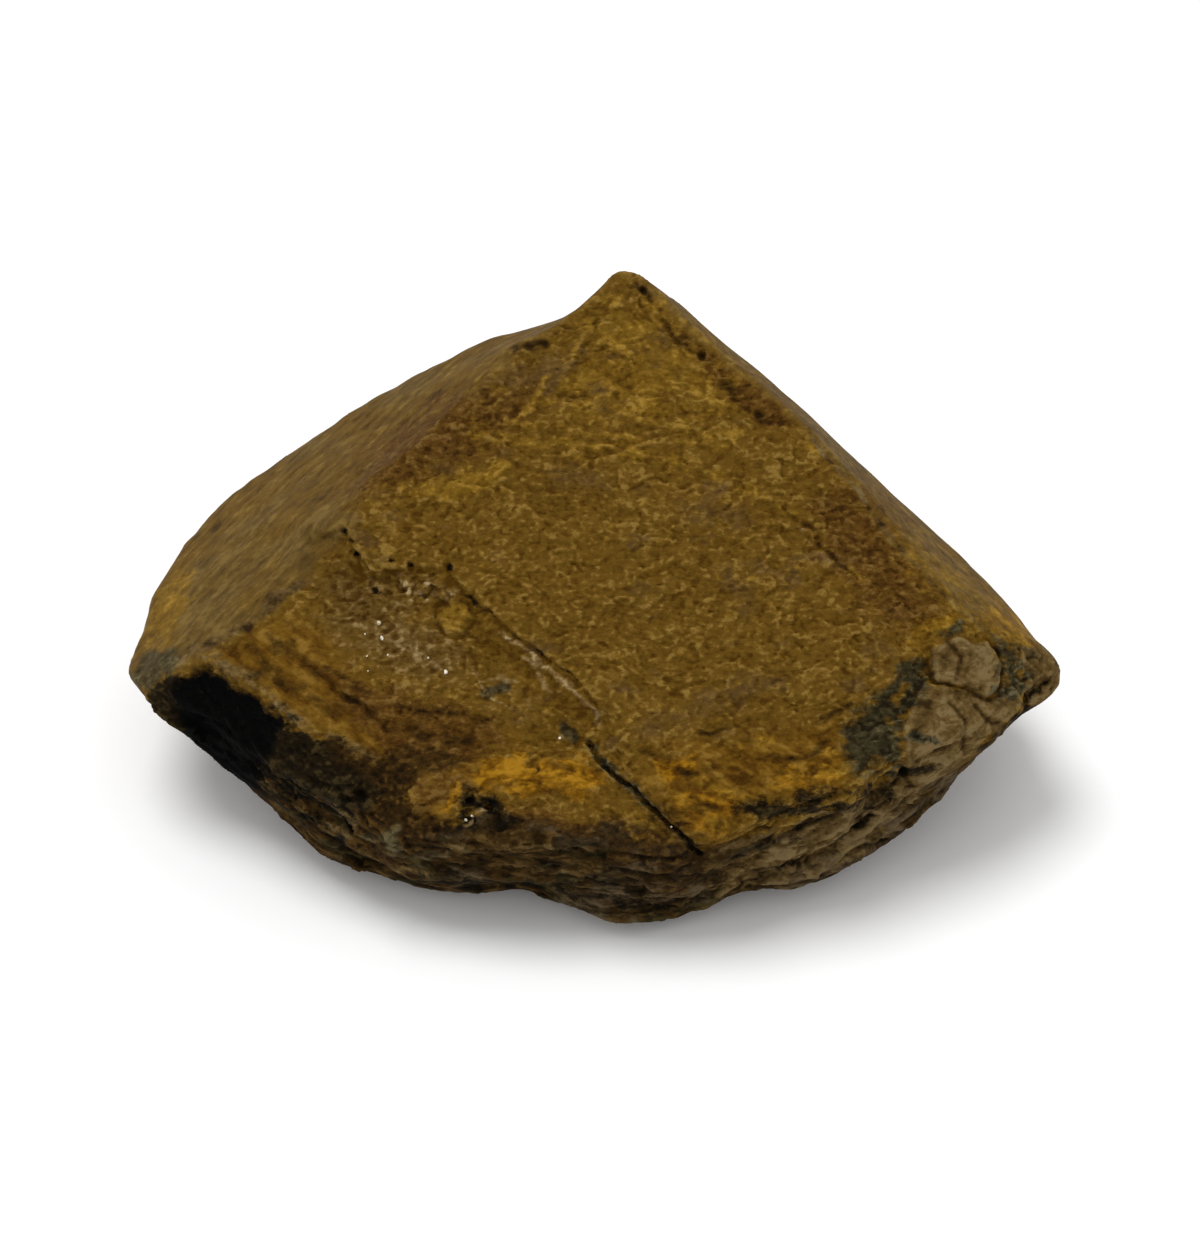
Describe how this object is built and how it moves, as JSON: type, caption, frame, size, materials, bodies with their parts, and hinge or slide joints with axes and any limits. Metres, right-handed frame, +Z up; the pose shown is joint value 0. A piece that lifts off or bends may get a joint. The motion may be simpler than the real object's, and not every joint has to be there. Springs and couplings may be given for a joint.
{
  "type": "rough yellow jasper",
  "caption": "Palm-sized chunk of rough yellow jasper: a pointed broad face tipped forward, smooth bevels behind it, a broken layered front edge and a flat bed to rest on.",
  "frame": {"origin": "on the plane of the flat bed that the stone rests on, under the middle of its bounding box", "axes": "+X from the left tip to the right tip, +Y away from the broad face towards the apex and the back, +Z up from the bed"},
  "size_m": [0.0638, 0.0422, 0.0291],
  "materials": {
    "jasper": "ochre brown, satin on the smooth bevels, dull where broken"
  },
  "bodies": {
    "root": {"jasper_chunk": "jasper"}
  },
  "joints": []
}
